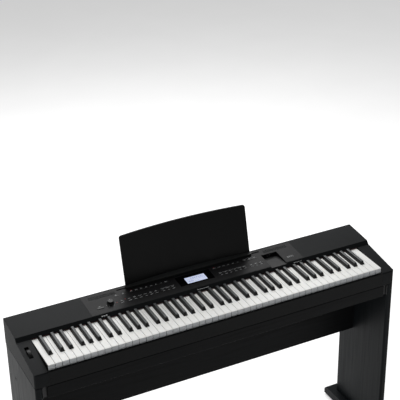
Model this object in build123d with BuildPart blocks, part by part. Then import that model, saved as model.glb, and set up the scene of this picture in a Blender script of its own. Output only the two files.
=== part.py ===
from build123d import *
import math
import os

os.makedirs("parts", exist_ok=True)

# Digital piano on a panel-leg stand.  Millimetres, +X along the keyboard towards
# the treble end, +Y towards the rear, +Z up.  Working coordinates for the sizes
# below: x = 0 at the middle of the keyboard, y = 0 at the front of the white
# keys, z = 0 at the white key tops; KY and KZ turn them into the part's frame,
# whose origin is the middle of the footprint at floor level.

# ---- driving dimensions --------------------------------------------------
KEY_TOP = 750.0           # white key tops above the floor
WHITE_PITCH = 23.5        # one white key to the next
N_WHITE = 52
KEY_GAP = 0.9
WHITE_VISIBLE = 150.0     # white key length in front of the fallboard
BLACK_FRONT = 50.0        # front of the black keys
BLACK_H = 12.0
BLACK_W = 13.6
KEY_REAR = 236.0
PIVOT_Y, PIVOT_Z = 225.0, -8.0
PIVOT_R = 3.0
CASE_HALF = 661.0         # half of the case width
CASE_FRONT, CASE_REAR = -8.0, 285.0
CASE_BOTTOM = -70.0
CHEEK_IN = 613.5          # inner face of the end blocks
CHEEK_FRONT_Z, CHEEK_REAR_Z = -20.0, 4.0
FALL_Y, FALL_Z = 152.0, 3.5      # lower front edge of the fallboard
PANEL_Y, PANEL_Z = 163.0, 16.0   # front edge of the sloped top
TOP_REAR_Y, TOP_REAR_Z = 276.0, 25.4
INLAY_HALF = 398.0        # half width of the centre control panel
INLAY_T = 2.5
PAN_HALF, PAN_BOTTOM = 612.0, -115.0
LEG_T = 23.0
LEG_REAR = 280.0
LEG_TOP = -72.0
FOOT_H = 40.0
FOOT_FRONT, FOOT_REAR = -12.0, 322.0
REST_LEAN = 12.5          # music rest, degrees back from upright
REST_H = 175.0            # music rest board along its lean
REST_HALF = 237.0
REST_T = 4.0

SLOPE = math.atan2(TOP_REAR_Z - PANEL_Z, TOP_REAR_Y - PANEL_Y)
LEDGE_H = 7.0
REST_END_Y = 265.5        # front of the rest board at its ends, at ledge level
REST_MID_Y = 277.0        # and at its middle
REST_ARCH = 2.2           # the top edge of the board rises to its middle
REST_CORNER_Z = (PANEL_Z + (REST_END_Y - PANEL_Y) * math.tan(SLOPE) + (LEDGE_H - 0.7) * math.cos(SLOPE)
                 + REST_H * math.cos(math.radians(REST_LEAN)))
REST_TOP_Y = (REST_MID_Y + REST_T * math.cos(SLOPE) - (LEDGE_H - 0.7) * math.sin(SLOPE)
              + (REST_CORNER_Z + REST_ARCH - PANEL_Z - (REST_MID_Y + REST_T - PANEL_Y) * math.tan(SLOPE)
                 - (LEDGE_H - 0.7) * math.cos(SLOPE)) * math.tan(math.radians(REST_LEAN)))
Y0 = (FOOT_FRONT + REST_TOP_Y) / 2.0     # middle of the footprint


def KY(y):
    return y - Y0


def KZ(z):
    return z + KEY_TOP


def yz(points):
    return [(KY(y), KZ(z)) for y, z in points]


PANEL = Plane(origin=(0, KY(PANEL_Y), KZ(PANEL_Z)), x_dir=(1, 0, 0),
              z_dir=(0, -math.sin(SLOPE), math.cos(SLOPE)))


def v_of(y):
    """Distance up the sloped top from its front edge."""
    return (y - PANEL_Y) / math.cos(SLOPE)


def panel_z(y):
    return PANEL_Z + (y - PANEL_Y) * math.tan(SLOPE)


def prism(points, x0, x1, mode=Mode.ADD):
    """Side profile in y, z swept from x0 to x1."""
    with BuildSketch(Plane.YZ.offset(x0)) as s:
        with BuildLine():
            Polyline(*yz(points), close=True)
        make_face()
    extrude(s.sketch, amount=x1 - x0, mode=mode)


def block(x0, x1, y0, y1, z0, z1, mode=Mode.ADD):
    with Locations(((x0 + x1) / 2, KY((y0 + y1) / 2), KZ((z0 + z1) / 2))):
        Box(x1 - x0, y1 - y0, z1 - z0, mode=mode)


def rod(x, y, z, r, h, axis="Z", mode=Mode.ADD):
    turn = {"Z": (0, 0, 0), "X": (0, 90, 0), "Y": (90, 0, 0)}[axis]
    with Locations(Location((x, KY(y), KZ(z)), turn)):
        Cylinder(r, h, mode=mode)


def on_panel(u0, u1, v0, v1, h0, h1, r=0.0, mode=Mode.ADD):
    """Rounded rectangle on the sloped top, from height h0 to h1 along its normal."""
    with BuildSketch(PANEL.offset(h0)) as s:
        with Locations(((u0 + u1) / 2, (v0 + v1) / 2)):
            if r > 0:
                RectangleRounded(u1 - u0, v1 - v0, r)
            else:
                Rectangle(u1 - u0, v1 - v0)
    extrude(s.sketch, amount=h1 - h0, mode=mode)


def round_on_panel(u, v, r, h0, h1, mode=Mode.ADD):
    with BuildSketch(PANEL.offset(h0)) as s:
        with Locations((u, v)):
            Circle(r)
    extrude(s.sketch, amount=h1 - h0, mode=mode)


def save(builder, name):
    builder.part.label = name
    export_step(builder.part, "parts/" + name + ".step")


# ---- stand ---------------------------------------------------------------
FLOOR = -KEY_TOP
BOLT_Z = (-160.0, -290.0)
BOLT_Y = 198.0
for side, name in ((-1, "stand_leg_left"), (1, "stand_leg_right")):
    x_in, x_out = side * (CASE_HALF - LEG_T), side * CASE_HALF
    with BuildPart() as leg:
        block(min(x_in, x_out), max(x_in, x_out), CASE_FRONT, LEG_REAR, FLOOR + FOOT_H, LEG_TOP)
        fillet(leg.edges().filter_by(Axis.Z).group_by(Axis.Y)[0], 8.0)
        fillet(leg.edges().filter_by(Axis.Z).group_by(Axis.Y)[-1], 8.0)
        for bz in BOLT_Z:
            rod(side * (CASE_HALF - LEG_T / 2), BOLT_Y, bz, 3.2, LEG_T + 2, "X", Mode.SUBTRACT)
            rod(side * (CASE_HALF - 2.0), BOLT_Y, bz, 7.2, 4.0, "X", Mode.SUBTRACT)
    save(leg, name)

for side, name in ((-1, "stand_foot_left"), (1, "stand_foot_right")):
    x_in, x_out = side * (CASE_HALF - 50.0), side * CASE_HALF
    with BuildPart() as foot:
        prism([(FOOT_FRONT, FLOOR + 6), (FOOT_FRONT, FLOOR + 26), (FOOT_FRONT + 14, FLOOR + FOOT_H),
               (FOOT_REAR - 14, FLOOR + FOOT_H), (FOOT_REAR, FLOOR + 26), (FOOT_REAR, FLOOR + 6)],
              min(x_in, x_out), max(x_in, x_out))
        chamfer(foot.edges().filter_by(Axis.X).group_by(Axis.Z)[-1], 1.5)
    save(foot, name)

with BuildPart() as foot_glides:
    for sx in (-1, 1):
        for gy in (FOOT_FRONT + 26, FOOT_REAR - 26):
            rod(sx * (CASE_HALF - 25), gy, FLOOR + 3, 14.0, 6.0)
save(foot_glides, "foot_glides")

with BuildPart() as stand_front_board:
    block(-622, 622, -8, 8, -114, LEG_TOP)
    fillet(stand_front_board.edges().filter_by(Axis.X).group_by(Axis.Z)[0], 1.2)
save(stand_front_board, "stand_front_board")

REAR_BOARD_Z = (-370.0, -122.0)
with BuildPart() as stand_rear_board:
    block(-(CASE_HALF - LEG_T), CASE_HALF - LEG_T, 190, 206, REAR_BOARD_Z[0], REAR_BOARD_Z[1])
    fillet(stand_rear_board.edges().filter_by(Axis.X).group_by(Axis.Z)[0], 1.2)
    for sx in (-1, 1):
        for bz in BOLT_Z:
            rod(sx * 608.0, BOLT_Y, bz, 3.2, 62.0, "X", Mode.SUBTRACT)
save(stand_rear_board, "stand_rear_board")

# angle brackets between the boards and the legs, in the corners of the stand
with BuildPart() as corner_brackets:
    for sx in (-1, 1):
        a, b = sorted((sx * 635.5, sx * 638.0))
        block(a, b, -6.0, 44.0, -113.0, -75.0)
        a, b = sorted((sx * 592.0, sx * 638.0))
        block(a, b, 8.0, 10.5, -113.0, -77.0)
        a, b = sorted((sx * 622.3, sx * 638.0))
        block(a, b, 0.0, 2.5, -113.0, -75.0)
        a, b = sorted((sx * 616.0, sx * 638.0))
        block(a, b, 8.0, 44.0, -77.0, -74.5)
        rod(sx * 626.0, 28.0, -75.75, 3.4, 6.0, "Z", Mode.SUBTRACT)
        a, b = sorted((sx * 635.5, sx * 638.0))
        block(a, b, 236.0, 270.0, -113.0, -75.0)
        a, b = sorted((sx * 616.0, sx * 638.0))
        block(a, b, 236.0, 270.0, -77.0, -74.5)
        rod(sx * 626.0, 253.0, -75.75, 3.4, 6.0, "Z", Mode.SUBTRACT)
save(corner_brackets, "corner_brackets")

with BuildPart() as stand_bolts:
    for sx in (-1, 1):
        for bz in BOLT_Z:
            rod(sx * (CASE_HALF - 2.0), BOLT_Y, bz, 7.0, 3.2, "X")
            rod(sx * 623.0, BOLT_Y, bz, 3.0, 73.0, "X")
            rod(sx * (CASE_HALF - 1.0), BOLT_Y, bz, 2.6, 2.4, "X", Mode.SUBTRACT)
save(stand_bolts, "stand_bolts")

with BuildPart() as clamp_screws:
    for sx in (-1, 1):
        for sy in (28.0, 253.0):
            rod(sx * 626.0, sy, -77.5, 3.0, 21.0)
            rod(sx * 626.0, sy, -92.5, 8.6, 9.0)
save(clamp_screws, "clamp_screws")

with BuildPart() as support_pads:
    for sx in (-1, 1):
        for sy in (30.0, 245.0):
            a, b = sorted((sx * 642.0, sx * 656.0))
            block(a, b, sy - 20, sy + 20, LEG_TOP, CASE_BOTTOM)
save(support_pads, "support_pads")

# ---- case ----------------------------------------------------------------
SKIN = 3.0


def arc_points(cy, cz, r, a0, a1, n):
    return [(cy + r * math.cos(math.radians(a0 + (a1 - a0) * i / n)),
             cz + r * math.sin(math.radians(a0 + (a1 - a0) * i / n))) for i in range(n + 1)]


cheek_nose = arc_points(CASE_FRONT + 5.0, -24.31, 5.0, 180.0, 98.5, 6)
rear_round = arc_points(275.0, 15.3, 10.0, 90.0 + math.degrees(SLOPE), 0.0, 8)
skin_profile = ([(CASE_FRONT, CASE_BOTTOM)] + cheek_nose + [(FALL_Y, CHEEK_REAR_Z), (PANEL_Y, PANEL_Z)]
                + rear_round + [(CASE_REAR, CASE_BOTTOM)])
cheek_profile = [(CASE_FRONT, CASE_BOTTOM)] + cheek_nose + [
                 (FALL_Y - 0.3, CHEEK_REAR_Z),
                 (FALL_Y - 0.3, CASE_BOTTOM + 4.3), (CASE_FRONT + 3.3, CASE_BOTTOM + 4.3),
                 (CASE_FRONT + 3.3, CASE_BOTTOM)]
cheek_hollow = [(CASE_FRONT + 3, CASE_BOTTOM - 1), (CASE_FRONT + 3, CHEEK_FRONT_Z - 2.6),
                (FALL_Y - 3.3, CHEEK_REAR_Z - 3.2), (FALL_Y - 3.3, CASE_BOTTOM - 1)]


def round_corner(x, y, r):
    """Take the square corner off in plan where the sides x and y meet."""
    sx, sy = math.copysign(1, x), (1 if y > 100 else -1)
    with BuildSketch(Plane.XY.offset(KZ(-80))) as s:
        with BuildLine():
            p1 = (x, KY(y) - sy * r)
            p2 = (x - sx * r, KY(y))
            m = r * (1 - math.sqrt(0.5))
            arc = ThreePointArc(p1, (x - sx * m, KY(y) - sy * m), p2)
            Polyline(p2, (x - sx * r, KY(y) + sy * 4), (x + sx * 4, KY(y) + sy * 4), (x + sx * 4, KY(y) - sy * r), p1)
        make_face()
    extrude(s.sketch, amount=130, mode=Mode.SUBTRACT)


WHEEL_X, WHEEL_Y = -639.0, 97.0
WHEEL_R, WHEEL_W = 22.0, 12.0
cheek_at_wheel = CHEEK_FRONT_Z + (CHEEK_REAR_Z - CHEEK_FRONT_Z) * (WHEEL_Y + 8) / 160.0
WHEEL_Z = cheek_at_wheel + 7.5 - WHEEL_R
for side, name in ((-1, "side_cap_left"), (1, "side_cap_right")):
    with BuildPart() as side_cap:
        a, b = sorted((side * (CASE_HALF - SKIN), side * CASE_HALF))
        prism(skin_profile, a, b)
        a, b = sorted((side * CHEEK_IN, side * (CASE_HALF - SKIN)))
        prism(cheek_profile, a, b)
        a, b = sorted((side * (CHEEK_IN + 3), side * (CASE_HALF - SKIN)))
        prism(cheek_hollow, a, b, Mode.SUBTRACT)
        round_corner(side * CASE_HALF, CASE_FRONT, 8.0)
        round_corner(side * CASE_HALF, CASE_REAR, 9.0)
        if side < 0:
            block(WHEEL_X - 7, WHEEL_X + 7, WHEEL_Y - 27, WHEEL_Y + 27, -30, 20, Mode.SUBTRACT)
    save(side_cap, name)

with BuildPart() as front_rail:
    prism([(-8, -70), (-8, -21.2), (-7.2, -20.2), (-1.2, -20), (-1.2, -23), (-5, -23), (-5, -70)],
          -(CHEEK_IN - 0.2), CHEEK_IN - 0.2)
save(front_rail, "front_rail")

COVER_HALF = CASE_HALF - SKIN - 0.3
USB_X0, USB_X1 = 265.0, 330.0
GRILLE_U = (281.0, 377.0)
GRILLE_V = (v_of(243.0), v_of(262.0))
JACK_X = (-330.0, -90.0)
with BuildPart() as top_cover:
    prism([(FALL_Y, FALL_Z), (PANEL_Y, PANEL_Z)] + rear_round
          + [(CASE_REAR, -70.0), (282, -70.0), (282, 14.0), (281.0, 18.5), (278.5, 20.4), (275.0, 20.75),
             (167.0, 11.8), (159.5, FALL_Z)], -COVER_HALF, COVER_HALF)
    for side in (-1, 1):
        round_corner(side * CASE_HALF, CASE_REAR, 9.0)
    on_panel(-INLAY_HALF - 0.3, INLAY_HALF + 0.3, 2.4, v_of(TOP_REAR_Y) - 3.0, -INLAY_T, 2.0, mode=Mode.SUBTRACT)
    on_panel(-392, 392, 9.0, 107.0, -9.0, 0.0, mode=Mode.SUBTRACT)
    prism([(157.9, 10.2), (240.3, 5.6), (240.3, 40), (150, 40), (150, 10.2)],
          USB_X0 - 0.3, USB_X1 + 0.3, Mode.SUBTRACT)
    block(JACK_X[0], JACK_X[1], 280, 286, -52, -14, Mode.SUBTRACT)
save(top_cover, "top_cover")

# layout of the controls on the sloped top, in u across and v up the slope
V_FRONT, V_REAR = v_of(199.5), v_of(232.5)
BTN_H = 3.4


def strip(u0, u1, n):
    """n slim buttons side by side from u0 to u1: list of (left, right)."""
    step = (u1 - u0) / n
    return [(u0 + i * step + 0.5, u0 + (i + 1) * step - 0.5) for i in range(n)]


BUTTONS = {
    "buttons_rear_left": (V_REAR, [(-292.0, -276.0), (-266.0, -251.0)]),
    "buttons_tone": (V_REAR, strip(-237.0, -92.0, 8)),
    "buttons_front_left": (V_FRONT, [(-286.0, -269.0)] + strip(-137.0, -82.0, 3)),
    "buttons_rhythm": (V_FRONT, strip(-260.0, -144.0, 6)),
    "buttons_rear_right": (V_REAR, strip(74.0, 183.0, 6)),
    "buttons_song": (V_REAR, strip(192.0, 248.0, 3)),
    "buttons_front_right": (V_FRONT, strip(81.0, 191.0, 6) + strip(200.0, 254.0, 3)),
}
SLOTS = {
    V_REAR: [(-292.0, -276.0), (-266.0, -251.0), (-237.0, -92.0), (74.0, 183.0), (192.0, 248.0)],
    V_FRONT: [(-286.0, -269.0), (-260.0, -144.0), (-137.0, -82.0), (81.0, 191.0), (200.0, 254.0)],
}
KNOB_U, KNOB_V = -317.0, v_of(206.0)
POWER = (-368.0, -345.0, v_of(190.5), v_of(198.5))
BEZEL = (-66.0, 62.0, v_of(189.0), v_of(243.0))
LCD = (-38.0, 37.0, v_of(195.0), v_of(229.0))
REST_SLOT_V = v_of(262.0)

with BuildPart() as control_panel:
    on_panel(-INLAY_HALF, INLAY_HALF, 2.7, v_of(TOP_REAR_Y) - 3.3, -INLAY_T, 0.0)
    for v, spans in SLOTS.items():
        for u0, u1 in spans:
            on_panel(u0 - 0.3, u1 + 0.3, v - BTN_H / 2 - 0.5, v + BTN_H / 2 + 0.5, -5, 1, mode=Mode.SUBTRACT)
    round_on_panel(KNOB_U, KNOB_V, 4.6, -5, 1, Mode.SUBTRACT)
    on_panel(POWER[0] - 0.4, POWER[1] + 0.4, POWER[2] - 0.4, POWER[3] + 0.4, -5, 1, 2.4, Mode.SUBTRACT)
    on_panel(BEZEL[0] - 0.1, BEZEL[1] + 0.1, BEZEL[2] - 0.1, BEZEL[3] + 0.1, -5, 1, 1.5, Mode.SUBTRACT)
    on_panel(-272, 272, REST_SLOT_V - 2.9, REST_SLOT_V + 2.9, -5, 1, mode=Mode.SUBTRACT)
    for sx in (-1, 1):
        u0, u1 = sorted((sx * GRILLE_U[0], sx * GRILLE_U[1]))
        on_panel(u0 - 0.1, u1 + 0.1, GRILLE_V[0] - 0.1, GRILLE_V[1] + 0.1, -5, 1, mode=Mode.SUBTRACT)
    prism([(157.9, 10.2), (240.3, 5.6), (240.3, 40), (150, 40), (150, 10.2)],
          USB_X0 - 0.3, USB_X1 + 0.3, Mode.SUBTRACT)
save(control_panel, "control_panel")

with BuildPart() as panel_grilles:
    for sx in (-1, 1):
        u0, u1 = sorted((sx * GRILLE_U[0], sx * GRILLE_U[1]))
        on_panel(u0, u1, GRILLE_V[0], GRILLE_V[1], -2.2, -0.2)
        n = 12
        for i in range(n):
            uc = u0 + (u1 - u0) * (i + 0.5) / n
            on_panel(uc - 2.6, uc + 2.6, GRILLE_V[0] + 2.5, GRILLE_V[1] - 2.5, -3, 1, mode=Mode.SUBTRACT)
save(panel_grilles, "panel_grilles")

# recess for a memory stick, open to the front, its floor falling to the rear
with BuildPart() as usb_recess:
    prism([(160.0, 12.6), (238.0, 8.0), (238.0, 6.0), (158.2, 10.55)], USB_X0, USB_X1)
    for a, b in ((USB_X0, USB_X0 + 2), (USB_X1 - 2, USB_X1)):
        prism([(160.0, 12.6), (PANEL_Y, PANEL_Z), (240.0, panel_z(240.0)), (240.0, 6.0), (158.2, 10.55)], a, b)
    prism([(238.0, 6.0), (238.0, panel_z(238.0)), (240.0, panel_z(240.0)), (240.0, 6.0)], USB_X0, USB_X1)
    block(290.0, 304.0, 236, 242, 11.0, 17.5, Mode.SUBTRACT)
save(usb_recess, "usb_recess")

with BuildPart() as usb_port:
    block(290.3, 303.7, 237.0, 251.0, 11.3, 17.2)
    block(291.0, 303.0, 236.0, 247.0, 12.0, 16.5, Mode.SUBTRACT)
    block(291.5, 302.5, 238.5, 248.0, 14.6, 16.0)
save(usb_port, "usb_port")

# music rest: ledge, tongue in the slot, and a board curved in plan
LEDGE_V0 = v_of(252.5)
LEAN = (0, math.sin(math.radians(REST_LEAN)), math.cos(math.radians(REST_LEAN)))
VE, VM = v_of(REST_END_Y), v_of(REST_MID_Y)
REST_CORNER = 9.0
with BuildPart() as rest_board:
    with BuildSketch(PANEL.offset(0.3 + LEDGE_H - 1.0)) as board_plan:
        with BuildLine():
            b1 = ThreePointArc((-REST_HALF - 4, VE - 1.1), (0, VM), (REST_HALF + 4, VE - 1.1))
            b2 = Line(b1 @ 1, (REST_HALF + 4, VE - 1.1 + REST_T))
            b3 = ThreePointArc(b2 @ 1, (0, VM + REST_T), (-REST_HALF - 4, VE - 1.1 + REST_T))
            b4 = Line(b3 @ 1, b1 @ 0)
        make_face()
    extrude(board_plan.sketch, amount=REST_H + 12.0, dir=LEAN)
    zt, zb, c = KZ(REST_CORNER_Z), KZ(0), REST_CORNER
    d = c * (1 - math.sqrt(0.5))
    with BuildSketch(Plane.XZ.offset(-KY(420))) as outline:
        with BuildLine():
            o1 = Polyline((-REST_HALF, zt - c), (-REST_HALF, zb), (REST_HALF, zb), (REST_HALF, zt - c))
            o2 = ThreePointArc((REST_HALF, zt - c), (REST_HALF - d, zt - d), (REST_HALF - c, zt))
            o3 = ThreePointArc((REST_HALF - c, zt), (0, zt + REST_ARCH), (-REST_HALF + c, zt))
            o4 = ThreePointArc((-REST_HALF + c, zt), (-REST_HALF + d, zt - d), (-REST_HALF, zt - c))
        make_face()
    extrude(outline.sketch, amount=260, mode=Mode.INTERSECT)

with BuildPart() as music_rest:
    with BuildSketch(PANEL.offset(0.3)) as ledge_plan:
        with BuildLine():
            l1 = Line((-REST_HALF - 2, LEDGE_V0), (REST_HALF + 2, LEDGE_V0))
            l2 = Line(l1 @ 1, (REST_HALF + 2, VE + 2))
            l3 = ThreePointArc(l2 @ 1, (0, VM + 2), (-REST_HALF - 2, VE + 2))
            l4 = Line(l3 @ 1, l1 @ 0)
        make_face()
    extrude(ledge_plan.sketch, amount=LEDGE_H)
    add(rest_board.part)
    on_panel(-236, 236, REST_SLOT_V - 2.5, REST_SLOT_V + 2.5, -7.0, 0.3)
save(music_rest, "music_rest")

with BuildPart() as lower_case:
    block(-(CASE_HALF - SKIN - 0.3), CASE_HALF - SKIN - 0.3, -4.7, 281.7, -70, -66)
    block(-PAN_HALF, PAN_HALF, 12, 276, PAN_BOTTOM, -66)
    block(-PAN_HALF + 3, PAN_HALF - 3, 15, 273, PAN_BOTTOM + 3, -60, Mode.SUBTRACT)
    for sx in (-1, 1):
        block(sx * 440 - 95, sx * 440 + 95, 90, 190, PAN_BOTTOM - 2, PAN_BOTTOM + 5, Mode.SUBTRACT)
        for sy in (28.0, 253.0):
            rod(sx * 626.0, sy, -68, 3.1, 8.0, "Z", Mode.SUBTRACT)
save(lower_case, "lower_case")

with BuildPart() as speaker_grilles:
    for sx in (-1, 1):
        block(sx * 440 - 100, sx * 440 + 100, 85, 195, PAN_BOTTOM - 2, PAN_BOTTOM)
        for i in range(11):
            yc = 95 + i * 9.0
            block(sx * 440 - 88, sx * 440 + 88, yc - 2.5, yc + 2.5, PAN_BOTTOM - 3, PAN_BOTTOM + 1, Mode.SUBTRACT)
save(speaker_grilles, "speaker_grilles")

with BuildPart() as speakers:
    for sx in (-1, 1):
        block(sx * 440 - 98, sx * 440 + 98, 87, 193, PAN_BOTTOM + 3, PAN_BOTTOM + 6)
        rod(sx * 440, 140, PAN_BOTTOM + 16, 44, 20.2)
        rod(sx * 440, 140, PAN_BOTTOM + 33, 26, 14.2)
        rod(sx * 440, 140, PAN_BOTTOM + 5, 46, 8, "Z", Mode.SUBTRACT)
save(speakers, "speakers")

with BuildPart() as case_screws:
    for x in (-560, -420, -280, -140, 140, 280, 420, 560):
        rod(x, 3.0, -70.9, 3.2, 1.8)
        rod(x, 30.0, PAN_BOTTOM - 0.9, 3.6, 1.8)
        rod(x, 260.0, PAN_BOTTOM - 0.9, 3.6, 1.8)
save(case_screws, "case_screws")

with BuildPart() as jack_panel:
    block(JACK_X[0] + 0.2, JACK_X[1] - 0.2, 282.2, 284.4, -51.8, -14.2)
    for x in (-305, -280):
        rod(x, 283, -33, 5.6, 6, "Y", Mode.SUBTRACT)
    rod(-245, 283, -33, 4.1, 6, "Y", Mode.SUBTRACT)
    for x in (-215, -190):
        rod(x, 283, -33, 5.6, 6, "Y", Mode.SUBTRACT)
    block(-166, -152, 280, 286, -39, -27, Mode.SUBTRACT)
    rod(-115, 283, -33, 5.1, 6, "Y", Mode.SUBTRACT)
save(jack_panel, "jack_panel")

with BuildPart() as jacks:
    for x in (-305, -280, -215, -190):
        rod(x, 275.0, -33, 5.5, 19.4, "Y")
        rod(x, 277.0, -33, 3.3, 18, "Y", Mode.SUBTRACT)
    rod(-245, 275.0, -33, 4.0, 19.4, "Y")
    rod(-245, 277.0, -33, 1.9, 18, "Y", Mode.SUBTRACT)
    block(-165.8, -152.2, 266, 284.6, -38.8, -27.2)
    block(-163.5, -154.5, 272, 286, -37, -29, Mode.SUBTRACT)
    rod(-115, 275.0, -33, 5.0, 19.4, "Y")
    rod(-115, 279.0, -33, 3.2, 14, "Y", Mode.SUBTRACT)
    rod(-115, 278.0, -33, 1.0, 12.5, "Y")
save(jacks, "jacks")

with BuildPart() as key_felt:
    block(-611, 611, 153.0, 158.5, 1.4, FALL_Z)
save(key_felt, "key_felt")

# ---- electronics ---------------------------------------------------------
with BuildPart() as main_board:
    block(-185, -15, 205, 262, -102, -100.4)
    for x in (-160, -120, -80, -40):
        block(x - 8, x + 8, 222, 238, -100.4, -98.6)
    for x in (-172, -140, -60, -28):
        rod(x, 250, -94.4, 5, 12)
save(main_board, "main_board")

with BuildPart() as panel_board:
    on_panel(-385, 255, 12.0, 86.0, -14.2, -12.6)
save(panel_board, "panel_board")

with BuildPart() as contact_board:
    block(-606, 606, 168, 196, -43.5, -42)
save(contact_board, "contact_board")

with BuildPart() as lcd_bezel:
    on_panel(BEZEL[0], BEZEL[1], BEZEL[2], BEZEL[3], -3.0, 0.25, 1.4)
    on_panel(LCD[0], LCD[1], LCD[2], LCD[3], -4, 1, mode=Mode.SUBTRACT)
save(lcd_bezel, "lcd_bezel")

with BuildPart() as lcd_display:
    on_panel(LCD[0] + 0.1, LCD[1] - 0.1, LCD[2] + 0.1, LCD[3] - 0.1, -3.0, -0.6)
    on_panel(LCD[0] - 6, LCD[1] + 6, LCD[2] - 4, LCD[3] + 4, -8.0, -3.0)
save(lcd_display, "lcd_display")

# ---- keyboard ------------------------------------------------------------
with BuildPart() as key_frame:
    block(-608, 608, 16, 244, -48, -45.5)
    for sx in (-1, 1):
        a, b = sorted((sx * 611.8, sx * 607.0))
        block(a, b, 16, 244, -48, -45.5)
        a, b = sorted((sx * 611.6, sx * 614.6))
        block(a, b, 210, 240, -65.8, -1.0)
        block(*sorted((sx * 607.0, sx * 614.6)), 210, 240, -48, -45.5)
    block(-608, 608, 18, 34, -45.5, -28.0)
    block(-608, 608, 240.5, 243.5, -45.5, -18.0)
    for x in (-400, -200, 0, 200, 400):
        block(x - 10, x + 10, 18, 240, PAN_BOTTOM + 3, -48)
        block(x - 10, x + 10, 60, 200, PAN_BOTTOM + 3, -60, Mode.SUBTRACT)
    for sx in (-1, 1):
        rod(sx * 613.1, PIVOT_Y, PIVOT_Z, PIVOT_R + 0.02, 6, "X", Mode.SUBTRACT)
save(key_frame, "key_frame")

with BuildPart() as stop_felts:
    block(-606, 606, 20, 32, -28.0, -24.8)
save(stop_felts, "stop_felts")

with BuildPart() as key_pivot_rod:
    rod(0, PIVOT_Y, PIVOT_Z, PIVOT_R, 1228.0, "X")
save(key_pivot_rod, "key_pivot_rod")

NAMES = "ABCDEFG"
HAS_SHARP = "ACDFG"                       # white keys with a black key to their right
OFFSET = {"A": 4.7, "C": -3.3, "D": 3.3, "F": -4.7, "G": 0.0}
X_LEFT = -N_WHITE * WHITE_PITCH / 2
whites, blacks = {}, {}
black_at = {}
for i in range(N_WHITE):
    n = NAMES[i % 7]
    if n in HAS_SHARP and i < N_WHITE - 1:
        black_at[i] = X_LEFT + (i + 1) * WHITE_PITCH + OFFSET[n]
for i in range(N_WHITE):
    n = NAMES[i % 7]
    xl = X_LEFT + i * WHITE_PITCH + KEY_GAP / 2
    xr = xl + WHITE_PITCH - KEY_GAP
    rl = max(xl, black_at[i - 1] + BLACK_W / 2 + 0.9) if i - 1 in black_at else xl
    rr = min(xr, black_at[i] - BLACK_W / 2 - 0.9) if i in black_at else xr
    whites.setdefault(n, []).append((xl, xr, rl, rr))
    if i in black_at:
        blacks.setdefault(n + "s", []).append(black_at[i])

WHITE_T = 15.0
for n in NAMES:
    with BuildPart() as white_key:
        for xl, xr, rl, rr in whites[n]:
            pts = [(xl, 0), (xr, 0), (xr, 48.5)]
            pts += [(rr, 48.5)] if rr < xr - 0.01 else []
            pts += [(rr, KEY_REAR), (rl, KEY_REAR)]
            pts += [(rl, 48.5)] if rl > xl + 0.01 else []
            pts += [(xl, 48.5)]
            clean = []
            for p in pts:
                if not clean or abs(p[0] - clean[-1][0]) + abs(p[1] - clean[-1][1]) > 0.01:
                    clean.append(p)
            with BuildSketch(Plane.XY.offset(KZ(-WHITE_T))) as s:
                with BuildLine():
                    Polyline(*[(x, KY(y)) for x, y in clean], close=True)
                make_face()
            extrude(s.sketch, amount=WHITE_T)
            block(xl, xr, 0, 3.0, -20.0, -WHITE_T)
            rod((rl + rr) / 2, PIVOT_Y, PIVOT_Z, PIVOT_R + 0.05, rr - rl + 2, "X", Mode.SUBTRACT)
    save(white_key, "keys_" + n.lower())

for n in sorted(blacks):
    with BuildPart() as black_key:
        for xc in blacks[n]:
            block(xc - BLACK_W / 2, xc + BLACK_W / 2, BLACK_FRONT, KEY_REAR, -WHITE_T, -2.0)
            with BuildSketch(Plane.XY.offset(KZ(-2.0))) as s:
                with Locations((xc, KY((BLACK_FRONT + 150.0) / 2))):
                    Rectangle(BLACK_W, 150.0 - BLACK_FRONT)
            extrude(s.sketch, amount=BLACK_H + 2.0, taper=8.5)
            prism([(BLACK_FRONT - 1, 0.0), (BLACK_FRONT, 0.0), (BLACK_FRONT + 5.5, BLACK_H + 0.5),
                   (BLACK_FRONT - 1, BLACK_H + 0.5)], xc - 8, xc + 8, Mode.SUBTRACT)
            rod(xc, PIVOT_Y, PIVOT_Z, PIVOT_R + 0.05, BLACK_W + 2, "X", Mode.SUBTRACT)
    save(black_key, "keys_" + n[0].lower() + "_sharp")

# one weighted hammer lever under each key
with BuildPart() as hammer_bank:
    centres = [(rl + rr) / 2 for n in NAMES for _, _, rl, rr in whites[n]] + [x for n in blacks for x in blacks[n]]
    for xc in centres:
        block(xc - 3.2, xc + 3.2, 60, 160, -38, -31)
        block(xc - 3.2, xc + 3.2, 60, 84, -31, -27)
save(hammer_bank, "hammer_bank")

# ---- controls ------------------------------------------------------------
with BuildPart() as volume_knob:
    round_on_panel(KNOB_U, KNOB_V, 12.6, 0.5, 2.0)
    round_on_panel(KNOB_U, KNOB_V, 10.0, 2.0, 11.0)
    round_on_panel(KNOB_U, KNOB_V, 4.2, -4.0, 0.5)
    round_on_panel(KNOB_U, KNOB_V, 3.05, -5.0, 7.0, Mode.SUBTRACT)
save(volume_knob, "volume_knob")

with BuildPart() as volume_pot:
    on_panel(KNOB_U - 8, KNOB_U + 8, KNOB_V - 8, KNOB_V + 8, -12.6, -6.0)
    round_on_panel(KNOB_U, KNOB_V, 3.0, -6.0, 6.5)
save(volume_pot, "volume_pot")

with BuildPart() as pitch_wheel:
    rod(WHEEL_X, WHEEL_Y, WHEEL_Z, WHEEL_R, WHEEL_W, "X")
    fillet(pitch_wheel.edges().filter_by(GeomType.CIRCLE), 1.2)
    rod(WHEEL_X, WHEEL_Y, WHEEL_Z + WHEEL_R + 6.6, 8.0, WHEEL_W + 2, "X", Mode.SUBTRACT)
    rod(WHEEL_X, WHEEL_Y, WHEEL_Z, 3.05, WHEEL_W + 2, "X", Mode.SUBTRACT)
save(pitch_wheel, "pitch_wheel")

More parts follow.
